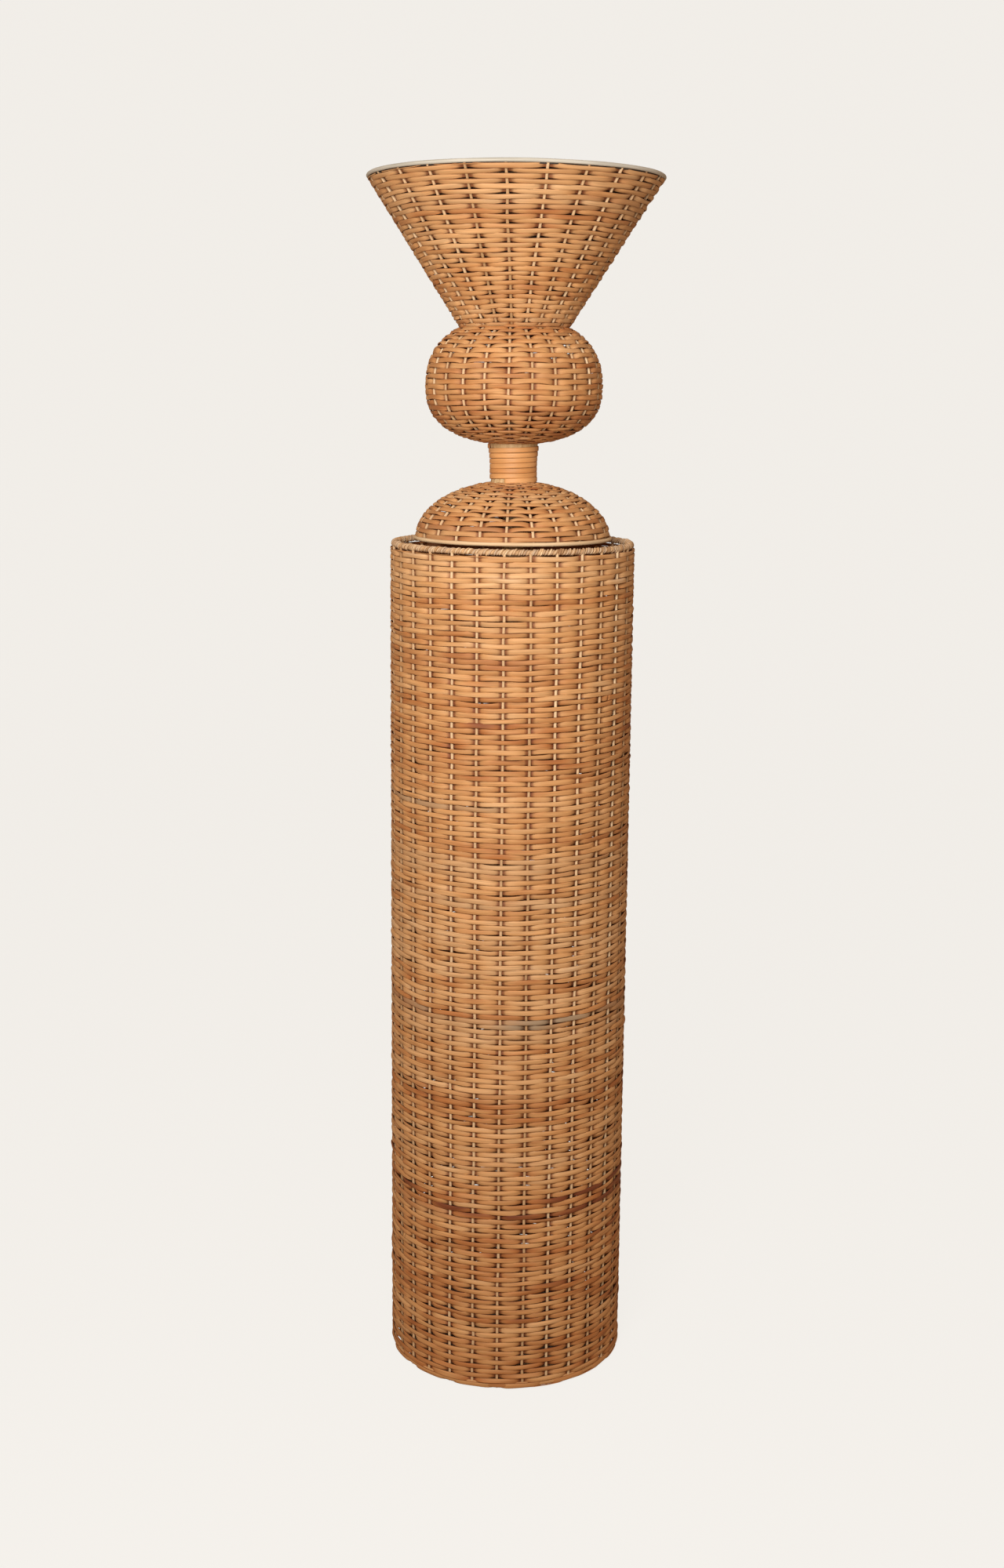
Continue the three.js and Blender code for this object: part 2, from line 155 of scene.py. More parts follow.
def grittyMaterial(name, light, dark, grit, roughness, bumpDepth):
    # Cast or moulded matter: fine grit in colour and relief.
    material, tree, shader = newMaterial(name, roughness)
    place = addNode(tree, "TexCoord").outputs["Object"]
    noise = addNode(tree, "TexNoise", links={"Vector": place, "Scale": 1 / grit, "Detail": 6.0})
    colour = addNode(tree, "ValToRGB", {"stops": [(0.35, dark), (0.65, light)]},
                     {"Fac": noise.outputs["Fac"]})
    joinShader(tree, shader, colour.outputs[0], noise.outputs["Fac"], 0.6, bumpDepth)
    return material


def heatproofEnamel():
    # Steel sheet under a thin coat of black stove enamel: dark, half matt, with fine pits.
    material, tree, shader = newMaterial("stove enamel on steel, sprayed", 0.55)
    place = addNode(tree, "TexCoord").outputs["Object"]
    pits = addNode(tree, "TexNoise", links={"Vector": place, "Scale": 700.0, "Detail": 3.0})
    clouds = addNode(tree, "TexNoise", links={"Vector": place, "Scale": 14.0, "Detail": 5.0})
    colour = addNode(tree, "ValToRGB", {"stops": [(0.35, "#1E1B19"), (0.7, "#3A332D")]},
                     {"Fac": clouds.outputs["Fac"]})
    rough = addNode(tree, "MapRange", links={"Value": clouds.outputs["Fac"], 3: 0.72, 4: 0.4})
    joinShader(tree, shader, colour.outputs[0], pits.outputs["Fac"], 0.25, 0.2 * mm, rough.outputs[0])
    return material


def sheetMetal(name, light, dark, roughness, soot=None):
    # Rolled sheet: cloudy dull spots in its shine, and soot on the pieces near a flame.
    material, tree, shader = newMaterial(name, roughness, 1.0)
    place = addNode(tree, "TexCoord").outputs["Object"]
    clouds = addNode(tree, "TexNoise", links={"Vector": place, "Scale": 28.0, "Detail": 5.0})
    colour = addNode(tree, "ValToRGB", {"stops": [(0.35, dark), (0.6, light)]},
                     {"Fac": clouds.outputs["Fac"]}).outputs[0]
    if soot:
        smoke = addNode(tree, "TexNoise", links={"Vector": place, "Scale": 9.0, "Detail": 4.0})
        amount = addNode(tree, "MapRange", links={"Value": smoke.outputs["Fac"], 1: 0.42, 2: 0.7,
                                                  3: 0.0, 4: soot})
        colour = addNode(tree, "Mix", blended, {0: amount.outputs[0], 6: colour,
                                                7: linearColour("#3A3632")}).outputs[2]
    rough = addNode(tree, "MapRange", links={"Value": clouds.outputs["Fac"], 1: 0.3, 2: 0.7,
                                             3: roughness + 0.14, 4: roughness - 0.06})
    scratches = addNode(tree, "TexNoise", links={"Vector": place, "Scale": 900.0, "Detail": 2.0})
    joinShader(tree, shader, colour, scratches.outputs["Fac"], 0.12, 0.2 * mm, rough.outputs[0])
    return material


def braidedWick():
    # Glass-fibre wick: two sets of threads 1.5 mm apart wind round it in opposite ways.
    material, tree, shader = newMaterial("glass fibre wick, braided", 0.9)
    place = addNode(tree, "TexCoord").outputs["Object"]
    waves = []
    for slant in (1, -1):
        tilted = addNode(tree, "Mapping", links={"Vector": place, "Rotation": (0, slant * 0.6, 0)})
        waves.append(addNode(tree, "TexWave", {"bands_direction": "Z"},
                             {"Vector": tilted.outputs[0], "Scale": 210.0}).outputs["Fac"])
    braid = addNode(tree, "Math", {"operation": "MAXIMUM"}, {0: waves[0], 1: waves[1]})
    colour = addNode(tree, "ValToRGB", {"stops": [(0.2, "#9A9384"), (0.8, "#EEE9DC")]},
                     {"Fac": braid.outputs[0]})
    joinShader(tree, shader, colour.outputs[0], braid.outputs[0], 0.8, 0.5 * mm)
    return material


# In each look below, edge is how strongly painted shade darkens the strand towards its edges.
# Split rattan, woven: half-matt golden tan that runs from honey to red-brown between lengths.
splitRattan = strandMaterial("split rattan, woven", {
    "colours": [(0.0, "#7F401D"), (0.22, "#B47039"), (0.5, "#D0985F"), (0.78, "#DCAC78"),
                (1.0, "#E8C298")],
    "weathered": "#9C8468", "streaks": 0.72, "edge": 0.8, "roughness": 0.7})
# Round core of rattan, peeled: pale cream, dull and faintly ribbed.
peeledCore = strandMaterial("rattan core, peeled", {
    "colours": [(0.0, "#AC8355"), (0.5, "#D2AB7E"), (1.0, "#E6C79D")],
    "weathered": "#B5AFA0", "streaks": 0.84, "edge": 0.25, "roughness": 0.62})
# Stake ends, soaked and bent over: greyed tan, frayed where they fold.
bentCore = strandMaterial("rattan core, bent over", {
    "colours": [(0.0, "#9C7149"), (0.5, "#D0A473"), (1.0, "#E9C89C")],
    "weathered": "#C2A98D", "streaks": 0.66, "edge": 0.4, "roughness": 0.8})
# Steam-bent rim: pale with a grey cast.
rimCore = strandMaterial("rattan core, steam-bent rim", {
    "colours": [(0.0, "#9F998A"), (0.5, "#C0BAAB"), (1.0, "#D6D1C6")],
    "weathered": "#BDBAAF", "streaks": 0.86, "edge": 0.1, "roughness": 0.6})
# Cane skin, wrapped: smoother and more orange than the weave, with a soft shine.
caneSkin = strandMaterial("cane skin, wrapped", {
    "colours": [(0.0, "#B8743A"), (0.5, "#DB9D5F"), (1.0, "#EBB67C")],
    "weathered": "#B08A62", "streaks": 0.78, "edge": 0.8, "roughness": 0.55})
# Boards, poles and turned wood: pale, with darker grain drawn out along them.
plywood = grainedWood("birch plywood, sawn", "#D6B98C", "#B08E60", 0.09, 0.006, 0, 0.7)
peeledPole = grainedWood("rattan pole, peeled", "#CDA878", "#A67C4C", 0.12, 0.003, 2, 0.55)
turnedWood = grainedWood("softwood, turned", "#D8B888", "#B68F5E", 0.07, 0.004, 2, 0.6)
# Matt grey with coarse grit, and matt near-black with fine grit.
castConcrete = grittyMaterial("concrete, cast", "#9A978F", "#73706A", 0.004, 0.9, 0.0006)
mouldedRubber = grittyMaterial("rubber, moulded", "#2E2C2B", "#222120", 0.002, 0.8, 0.0001)
# Bright tin and golden brass, both smoked near the flame, and dull grey steel.
tinnedSheet = sheetMetal("tinned steel sheet, rolled", "#C2C3C1", "#9C9C98", 0.34, soot=0.6)
platedSteel = sheetMetal("steel, zinc plated and dulled", "#85878A", "#5F6164", 0.5)
satinBrass = sheetMetal("brass, turned and brushed", "#C79C55", "#A17838", 0.3, soot=0.25)
wickFibre = braidedWick()
stoveEnamel = heatproofEnamel()
print("materials made")


def makePiece(name, grids, material, body, replaced, values=None, wrapEnds=False):
    # Each grid holds rows of section points along a path. Neighbouring rows and points span
    # four-sided faces, each section closes on itself, and end sections get a cap.
    points, faces, caps, start = [], [], [], 0
    for grid in grids:
        rows, around = grid.shape[:2]
        index = start + np.arange(rows * around).reshape(rows, around)
        ahead = np.roll(index, -1, axis=0) if wrapEnds else index[1:]
        here = index if wrapEnds else index[:-1]
        quads = np.stack([here, ahead, np.roll(ahead, -1, axis=1), np.roll(here, -1, axis=1)],
                         axis=2).reshape(-1, 4)
        corners = grid.reshape(-1, 3)
        a, b, c, d = (corners[quads[:, k] - start] for k in range(4))
        volume = np.einsum("ij,ij->i", a, np.cross(b, c) + np.cross(c, d)).sum()
        step = 1 if volume > 0 else -1  # negative volume means the faces point inwards
        faces.append(quads[:, ::step])
        if not wrapEnds:
            caps += [index[0][::step], index[-1][::-step]]
        points.append(corners)
        start += rows * around
    points = np.concatenate(points)
    quads = np.concatenate(faces)
    sizes = np.concatenate([np.full(len(quads), 4), [len(cap) for cap in caps]]).astype(np.int32)
    loops = np.concatenate([quads.ravel(), *caps]).astype(np.int32)
    mesh = bpy.data.meshes.new(name)
    mesh.vertices.add(len(points))
    mesh.vertices.foreach_set("co", points.astype(np.float32).ravel())
    mesh.loops.add(len(loops))
    mesh.loops.foreach_set("vertex_index", loops)
    mesh.polygons.add(len(sizes))
    firstLoops = np.concatenate([[0], np.cumsum(sizes)[:-1]]).astype(np.int32)
    mesh.polygons.foreach_set("loop_start", firstLoops)
    mesh.update(calc_edges=True)
    mesh.polygons.foreach_set("use_smooth", np.arange(len(sizes)) < len(quads))
    for label, data in (values or {}).items():
        flat = np.concatenate([part.reshape(part.shape[0] * part.shape[1], -1) for part in data])
        kind, field = ("FLOAT_VECTOR", "vector") if flat.shape[1] == 3 else ("FLOAT", "value")
        attribute = mesh.attributes.new(label, kind, "POINT")
        attribute.data.foreach_set(field, flat.astype(np.float32).ravel())
    mesh.validate()
    mesh.materials.append(material)
    piece = bpy.data.objects.new(name, mesh)
    bpy.context.scene.collection.objects.link(piece)
    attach(piece, body)
    if replaced:
        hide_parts(*replaced)


def unit(vectors):
    # Each vector divided by its own length.
    return vectors / np.linalg.norm(vectors, axis=-1, keepdims=True)


def smoothRandom(random, places, spacing, strength):
    # Random values a spacing apart, joined by a smooth curve: slow unevenness along a strand.
    steps = places / spacing
    whole = np.floor(steps).astype(int)
    knots = random.normal(size=whole.max() + 2)
    blend = steps - whole
    blend = blend * blend * (3 - 2 * blend)
    return strength * (knots[whole] * (1 - blend) + knots[whole + 1] * blend)


def sweep(path, across, outwards, halfWidth, rise, section):
    # Carries a section along a path: each point is the path's point, plus its share of the
    # width across the strand and its share of the thickness outwards.
    width = (halfWidth[:, None] * section[:, 0])[:, :, None]
    height = (rise[:, None] * section[:, 1])[:, :, None]
    return path[:, None] + across[:, None] * width + outwards[:, None] * height


def roundSection(count, crown=1.0, sole=1.0, square=1.0):
    # A closed oval: cosine across, sine outwards, flattened by its own factor on each side.
    # Raising both to a power under 1 squares it.
    angle = (np.arange(count) + 0.5) / count * turn
    side = np.where(np.sin(angle) > 0, crown, sole)
    across, outwards = np.cos(angle), np.sin(angle)
    return np.stack([np.sign(across) * np.abs(across) ** square,
                     side * np.sign(outwards) * np.abs(outwards) ** square], axis=1)


def strandValues(grid, along, tone, grey, section, halfWidth, seed=0.0):
    # What the strand materials read: distance along and across, tone, greyness and crown.
    spread = np.ones(grid.shape[:2])
    across = halfWidth[:, None] * section[:, 0]
    fibre = np.stack([along[:, None] * spread, across + 0.4 * halfWidth[:, None] * section[:, 1],
                      seed * spread], axis=2)
    return {"fibre": fibre, "tone": tone[:, None] * spread, "grey": grey[:, None] * spread,
            "crown": section[:, 1] * spread}


def gathered(valueSets):
    # One list for each kind of value, from one set of values for each strand.
    return {label: [values[label] for values in valueSets] for label in valueSets[0]}


def outlineFrom(radius, height, inset):
    # A shell's outline, moved inwards by the inset: its radius, height and direction by the
    # distance along it.
    along = np.concatenate([[0], np.cumsum(np.hypot(np.diff(radius), np.diff(height)))])
    slopeR, slopeZ = np.gradient(radius, along), np.gradient(height, along)
    radius, height = radius - inset * slopeZ, height + inset * slopeR
    along = np.concatenate([[0], np.cumsum(np.hypot(np.diff(radius), np.diff(height)))])
    return {"along": along, "radius": radius, "height": height, "slopeR": slopeR, "slopeZ": slopeZ,
            "length": along[-1]}


def between(outline, low, high):
    # The part of an outline between two heights.
    keep = (outline["height"] > low) & (outline["height"] < high)
    cut = {key: outline[key][keep] for key in ("along", "radius", "height", "slopeR", "slopeZ")}
    cut["along"] = cut["along"] - cut["along"][0]
    cut["length"] = cut["along"][-1]
    return cut


def onOutline(outline, distance, angle):
    # The point, the direction up the outline and the outward direction at each angle.
    radius, height, slopeR, slopeZ = (np.interp(distance, outline["along"], outline[key])
                                      for key in ("radius", "height", "slopeR", "slopeZ"))
    cosine, sine = np.cos(angle), np.sin(angle)
    point = np.stack([radius * cosine, radius * sine, height], axis=-1)
    upwards = np.stack([slopeR * cosine, slopeR * sine, slopeZ], axis=-1)
    outwards = np.stack([slopeZ * cosine, slopeZ * sine, -slopeR], axis=-1)
    return point, upwards, outwards


weaving = {
    "fill": 0.95,             # width of the split strip over a stake, as a share of a row's height
    "thickness": 2.5 * mm,
    "stake": 3.8 * mm,
    "sway": 2.55 * mm,        # how far a strip bends out and in round the stakes
    "dive": 6.0,              # how steeply it goes behind a stake
    "wave": 0.55 * mm,        # how far the rows rise and fall round the wall
    "inset": 2.8 * mm,        # from the wall's outside to the middle of its stakes
    "row": 6.35 * mm,         # height of a row in the head, and in the column
    "columnRow": 6.6 * mm,
    "stepsPerStake": 10,
    "sectionPoints": 10,
    "columnStakes": 29,
    "headStakes": 23,
    "firstStake": np.radians(-93.7),
    "crowded": 20 * mm,       # stakes nearer together than this keep the strips from leaning
    "levelEdge": 25 * mm,     # the wave dies out this near to the first and last rows
    "bulge": 0.16,            # how much wider a strip grows on its way behind a stake
    "insideBulge": 0.2,       # and how much wider again right behind it
    "floatsPerStrip": (14, 52),
    "toneSpread": 0.075,      # how much strips differ in colour and in grey
    "greySpread": 0.06,
    "insideShade": 0.85,      # how much painted shade darkens its edges behind a stake
    "pointLimit": 95000,      # section points in one piece
}
# How uneven one strip is along its length: shares of the width and thickness, lengths, and
# radians of twist.
uneven = {"height": 0.3 * mm, "width": 0.07, "thickness": 0.05, "sway": 0.16 * mm, "twist": 0.2,
          "tone": 0.07, "patch": 0.4}


def weave(name, outline, stakes, body, seed, row=weaving["row"], streaks=(), mellow=0.0):
    # One strip winds up the outline, t rows up after t turns. Its swing is the cosine of half of
    # stakes times the angle, so with an odd number of stakes it changes sides at each stake and
    # in each row. It lies outside the stakes by sway times 1 - 2((1 - swing)/2)^dive, which is
    # flat over a stake and steep behind one. In the first turn its lower edge is held level, and
    # in the last its upper edge. Rows side by side share one wave, a sum of three sines.
    rows = int(round(outline["length"] / row))
    pitch = outline["length"] / rows
    random = np.random.default_rng(seed)
    count = (rows + 1) * stakes * weaving["stepsPerStake"] + 1
    turns = np.linspace(0.02, rows + 0.98, count)
    angle = turns * turn + weaving["firstStake"]
    lower = pitch * np.clip(turns - 1, 0, rows)
    upper = pitch * np.clip(turns, 0, rows)
    swing = np.cos(stakes * turns * np.pi)
    crossing = 1 - 2 * ((1 - swing) / 2) ** weaving["dive"]  # 1 outside a stake, -1 inside
    interval = turns * stakes
    floats = np.floor((interval + 1) / 2).astype(int)  # the float that each point is part of
    radius = np.interp((lower + upper) / 2, outline["along"], outline["radius"])
    tight = np.clip(turn * radius / stakes / weaving["crowded"], 0.35, 1)
    middle = (lower + upper) / 2
    edge = np.minimum(middle, outline["length"] - middle)
    fade = np.clip(edge / weaving["levelEdge"] - 0.2, 0, 1)
    phases = random.uniform(0, turn, size=3)
    middle = middle + weaving["wave"] * fade * (np.sin(2 * angle + 9 * middle + phases[0])
                                                + np.sin(5 * angle - 23 * middle + phases[1])
                                                + 0.6 * np.sin(13 * angle + 61 * middle + phases[2]))
    middle += smoothRandom(random, interval, 1.3, uneven["height"]) * tight
    inwards = (1 - swing) / 2
    widest = pitch * (weaving["fill"] + weaving["bulge"] * inwards + weaving["insideBulge"] * inwards ** 6
                      + smoothRandom(random, interval, 1.1, uneven["width"]))
    halfWidth = widest * np.clip((upper - lower) / pitch, 0.1, 1) / 2
    rise = weaving["thickness"] * (1 + smoothRandom(random, interval, 2.0, uneven["thickness"]))
    centre, upwards, outwards = onOutline(outline, middle, angle)
    sway = weaving["sway"] + smoothRandom(random, interval, 1.0, uneven["sway"])
    path = centre + outwards * (sway * crossing)[:, None]
    twist = smoothRandom(random, interval, 1.4, uneven["twist"]) * tight
    across = upwards * np.cos(twist)[:, None] + outwards * np.sin(twist)[:, None]
    facing = outwards * np.cos(twist)[:, None] - upwards * np.sin(twist)[:, None]
    section = roundSection(weaving["sectionPoints"], 0.5, 0.4, square=0.6)
    grid = sweep(path, across, facing, halfWidth, rise, section)
    along = np.concatenate([[0], np.cumsum(np.linalg.norm(np.diff(path, axis=0), axis=1))])
    ends = np.cumsum(random.integers(*weaving["floatsPerStrip"], size=floats[-1]))
    strip = np.searchsorted(ends, floats)  # strips are joined behind a stake
    strips = strip.max() + 1
    tones = np.clip(random.normal(0.5 - mellow, weaving["toneSpread"], size=strips), 0.12, 0.95)
    tone = tones[strip] + smoothRandom(random, interval, 1.0, uneven["tone"])
    greys = np.clip(random.normal(0.0, weaving["greySpread"], size=strips), 0, 0.5)
    grey = greys[strip]
    patchy = np.clip(0.55 + smoothRandom(random, interval, 2.5, uneven["patch"]), 0, 1)
    floatTurns = 2 * floats / stakes
    for streak in streaks:
        start = (streak["height"] - outline["height"][0]) / pitch + streak.get("offset", 0)
        inside = (floatTurns > start) & (floatTurns < start + streak["turns"])
        tone = np.where(inside, tone + streak.get("tone", 0) * patchy, tone)
        grey = np.where(inside, streak.get("grey", 0) * patchy, grey)
    values = strandValues(grid, along, np.clip(tone, 0, 1), grey, section, halfWidth)
    # Painted shade: a strip is darkened where it runs behind a stake, in the recess between the rows.
    values["crown"] -= weaving["insideShade"] * np.clip(-0.1 - crossing, 0, 1)[:, None]
    pieces = int(np.ceil(grid.shape[0] * grid.shape[1] / weaving["pointLimit"]))
    cuts = np.linspace(0, count - 1, pieces + 1).astype(int)
    for i, (first, last) in enumerate(zip(cuts[:-1], cuts[1:])):
        part = slice(first, last + 1)
        label = f"{name}Weave" if pieces == 1 else f"{name}Weave_{i + 1}"
        makePiece(label, [grid[part]], splitRattan, body, [f"{name}_weave"],
                  {key: [value[part]] for key, value in values.items()})


def placeStakes(name, outline, stakes, body, replaced, seed, reach=(0.0, 0.0), taper=1.0):
    # Round stakes that run up the outline side by side, each a little crooked.
    # Beyond the outline's ends they run straight on, by their reach.
    random = np.random.default_rng(seed)
    section = roundSection(8)
    steps = max(int(outline["length"] / (7 * mm)), 12)
    distance = np.linspace(-reach[0], outline["length"] + reach[1], steps)
    within = np.clip(distance, 0, outline["length"])
    travelled = distance - distance[0]
    shrink = np.interp(distance, [0, outline["length"]], [taper, 1.0])
    grids, values = [], []
    for k in range(stakes):
        angle = weaving["firstStake"] + k / stakes * turn
        lean = smoothRandom(random, np.linspace(0, steps / 5, steps), 1.0, 0.45 * mm)
        point, upwards, outwards = onOutline(outline, within, np.full(steps, angle))
        sideways = np.cross(outwards, upwards)
        path = point + upwards * (distance - within)[:, None] + sideways * lean[:, None]
        half = weaving["stake"] / 2 * shrink * (1 + smoothRandom(random, travelled, 0.03, 0.04))
        grid = sweep(path, sideways, outwards, half, half, section)
        tone = np.clip(random.normal(0.55, 0.16), 0.1, 1) + smoothRandom(random, travelled, 0.05, 0.08)
        grids.append(grid)
        values.append(strandValues(grid, distance, np.clip(tone, 0, 1), np.zeros(steps), section, half, k))
    makePiece(f"{name}Stakes", grids, peeledCore, body, replaced, gathered(values))


ball = {"radius": 111.2 * mm, "lower": 69.6 * mm, "upper": 86.4 * mm, "power": 2.4, "inset": 2.6 * mm}
dome = {"radius": 124 * mm, "rise": 71.5 * mm, "inset": 2.6 * mm}
waistRadius = 68.5 * mm
nearlyQuarter = 1.52  # radians: outlines stop just short of the axis


def straightOutline(radiusLow, radiusHigh, low, high):
    # A straight line between two radii, drawn on past both ends and cut off at its heights.
    share = np.linspace(-0.03, 1.03, 300)
    line = outlineFrom(radiusLow + (radiusHigh - radiusLow) * share, low + (high - low) * share,
                       weaving["inset"])
    return between(line, low, high)


def ballOutline(foot, crown, middle):
    # Superellipse: cosine and sine of the turning angle, each raised to 2 over its power.
    angle = np.linspace(-nearlyQuarter, nearlyQuarter, 1600)
    radius = ball["radius"] * np.cos(angle) ** (2 / ball["power"])
    rise = np.where(angle < 0, ball["lower"], ball["upper"])
    height = middle + rise * np.sign(np.sin(angle)) * np.abs(np.sin(angle)) ** (2 / ball["power"])
    return between(outlineFrom(radius, height, ball["inset"]), foot, crown)


def domeOutline(foot, crown, middle):
    # Quarter ellipse from its foot up to where the neck starts.
    angle = np.linspace(0, nearlyQuarter, 1000)
    return between(outlineFrom(dome["radius"] * np.cos(angle), middle + dome["rise"] * np.sin(angle),
                               dome["inset"]), foot, crown)


columnLow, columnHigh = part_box("column_weave")
coneLow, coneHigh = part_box("cone_weave")
ballLow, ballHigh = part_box("ball_weave")
domeLow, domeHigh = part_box("dome_weave")
hoopLow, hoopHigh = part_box("ball_hoop")
ringLow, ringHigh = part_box("dome_ring")
rimLow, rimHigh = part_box("rim_ring")
borderLow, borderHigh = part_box("column_border")
neckLow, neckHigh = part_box("neck_binding")
columnOuter = columnHigh.x + 1 * mm

columnOutline = straightOutline(columnOuter, columnOuter, 0.4 * mm, columnHigh.z + 2.4 * mm)
coneOutline = straightOutline(waistRadius, coneHigh.x, coneLow.z, coneHigh.z + 0.8 * mm)
ballShape = ballOutline(ballLow.z, ballHigh.z, (hoopLow.z + hoopHigh.z) / 2)
domeShape = domeOutline(domeLow.z - 1 * mm, domeHigh.z, (ringLow.z + ringHigh.z) / 2)

# Rows that stand out by their colour: their height, how many turns they go on for, how far
# their tone shifts, how grey they are, and how many turns late they start.
columnStreaks = [
    {"height": 0.0, "turns": 34, "tone": -0.16},
    {"height": 0.246, "turns": 3.5, "tone": -0.5},
    {"height": 0.365, "turns": 0.7, "tone": 0.4, "grey": 0.45},
    {"height": 0.39, "turns": 1.6, "tone": -0.42, "offset": 0.5},
    {"height": 0.503, "turns": 1.9, "grey": 0.95},
    {"height": 0.78, "turns": 0.55, "grey": 0.95, "offset": 0.45},
    {"height": 0.885, "turns": 1.1, "tone": -0.25},
]
domeStreaks = [{"height": domeLow.z, "turns": 3.5, "tone": -0.25, "grey": 0.2}]
columnStakes, headStakes = weaving["columnStakes"], weaving["headStakes"]
weave("column", columnOutline, columnStakes, "column", 11, weaving["columnRow"], columnStreaks)
placeStakes("column", columnOutline, columnStakes, "column", ["column_stakes"], 12, reach=(0, 4 * mm))
print("column woven")
weave("cone", coneOutline, headStakes, "torch_head", 21)
placeStakes("cone", coneOutline, headStakes, "torch_head", [], 22, reach=(0, 3 * mm))
weave("ball", ballShape, headStakes, "torch_head", 31, mellow=0.1)
placeStakes("ball", ballShape, headStakes, "torch_head", [], 32, taper=0.8)
weave("dome", domeShape, headStakes, "torch_head", 41, streaks=domeStreaks)
placeStakes("dome", domeShape, headStakes, "torch_head", [], 42, reach=(3 * mm, 0))
print("head woven")


def ringPiece(name, radius, height, thickness, body, replaced, material, steps=220, flat=1.0,
              tone=0.55):
    # A round rod bent to a circle. Its radius swings with the sines of 3 and 7 times the angle,
    # and its thickness with the sine of 11 times the angle.
    angle = np.arange(steps) / steps * turn
    wobble = 0.25 * mm * np.sin(3 * angle + 1) + 0.12 * mm * np.sin(7 * angle)
    centre = np.stack([(radius + wobble) * np.cos(angle), (radius + wobble) * np.sin(angle),
                       np.full(steps, height) + 0.5 * wobble], axis=1)
    outwards = np.stack([np.cos(angle), np.sin(angle), 0 * angle], axis=1)
    upwards = np.tile([0.0, 0.0, 1.0], (steps, 1))
    half = thickness / 2 * (1 + 0.03 * np.sin(11 * angle))
    section = roundSection(12)
    grid = sweep(centre, upwards, outwards, half * flat, half, section)
    tones = tone + 0.12 * np.sin(2 * angle + 2) + 0.05 * np.sin(9 * angle)
    values = strandValues(grid, angle * radius, tones, 0 * angle, section, half)
    makePiece(name, [grid], material, body, replaced, gathered([values]), wrapEnds=True)


ringInset = 2.6 * mm  # from the outside of a ring's box to the middle of its rod
ringPiece("domeRing", ringHigh.x - ringInset, (ringLow.z + ringHigh.z) / 2, 5.2 * mm, "torch_head",
          ["dome_ring"], peeledCore, tone=0.9)
ringPiece("rimRing", rimHigh.x - ringInset, (rimLow.z + rimHigh.z) / 2 - 0.3 * mm, 4.7 * mm, "torch_head",
          ["rim_ring"], rimCore, 300)

# Ends of stakes in the border, and how far each one reaches as a share of a stake's spacing.
border = {"ends": 290, "reach": 0.34, "coil": 3.5 * mm, "strand": 2.4 * mm, "steps": 18,
          "core": 6.2 * mm, "foot": np.radians(-85), "roll": np.radians(330)}


def rolledBorder():
    # Each stake end bends over to one side and rolls over the rim: it turns about the
    # border's middle from its outer foot over the top while it runs on round the column.
    random = np.random.default_rng(61)
    middleRadius = borderHigh.x - border["coil"] - border["strand"] / 2
    middleHeight = (borderLow.z + borderHigh.z) / 2
    section = roundSection(7)
    share = np.linspace(0, 1, border["steps"])
    grids, values = [], []
    for k in range(border["ends"]):
        begin = weaving["firstStake"] + (k + random.uniform(-0.2, 0.2)) / border["ends"] * turn
        span = border["reach"] * random.uniform(0.8, 1.2) / columnStakes * turn
        angle = begin + span * share
        roll = border["foot"] + border["roll"] * share ** 0.8 + random.normal(0, 0.25)
        coil = border["coil"] * (random.uniform(0.88, 1.1) + smoothRandom(random, share * 4, 1.0, 0.1))
        radius = middleRadius + coil * np.cos(roll)
        centre = np.stack([radius * np.cos(angle), radius * np.sin(angle),
                           middleHeight + coil * np.sin(roll)], axis=1)
        radial = np.stack([np.cos(angle), np.sin(angle), 0 * angle], axis=1)
        outwards = radial * np.cos(roll)[:, None] + np.array([0, 0, 1]) * np.sin(roll)[:, None]
        ahead = unit(np.gradient(centre, axis=0))
        across = unit(np.cross(outwards, ahead))
        taper = np.clip(np.minimum(share, 1 - share) * 8, 0.45, 1)
        half = border["strand"] / 2 * taper * random.uniform(0.8, 1.15)
        grid = sweep(centre, across, np.cross(ahead, across), half * 1.15, half * 0.85, section)
        tone = np.clip(random.normal(0.5, 0.2) + smoothRandom(random, share * 6, 1.0, 0.1), 0, 1)
        grey = np.full(border["steps"], np.clip(random.normal(0.3, 0.25), 0, 0.8))
        grids.append(grid)
        values.append(strandValues(grid, angle * middleRadius, tone, grey, section, half, k))
    makePiece("columnBorder", grids, bentCore, "column", ["column_border"],
              gathered(values))


rolledBorder()
ringPiece("borderCore", borderHigh.x - 4.7 * mm, (borderLow.z + borderHigh.z) / 2, border["core"],
          "column", [], bentCore)
ringPiece("footRing", columnOuter - ringInset, columnLow.z + 0.4 * mm, 5.2 * mm,
          "column", [], splitRattan, flat=1.5)

# The binding, in which the strip covers 0.98 of each turn's pitch.
neck = {"pitch": 6.4 * mm, "radius": 30.2 * mm, "topFlare": 3.5 * mm, "footFlare": 1.6 * mm,
        "strip": 2.0 * mm, "cover": 0.98, "stepsPerTurn": 72, "startAngle": 1.2}


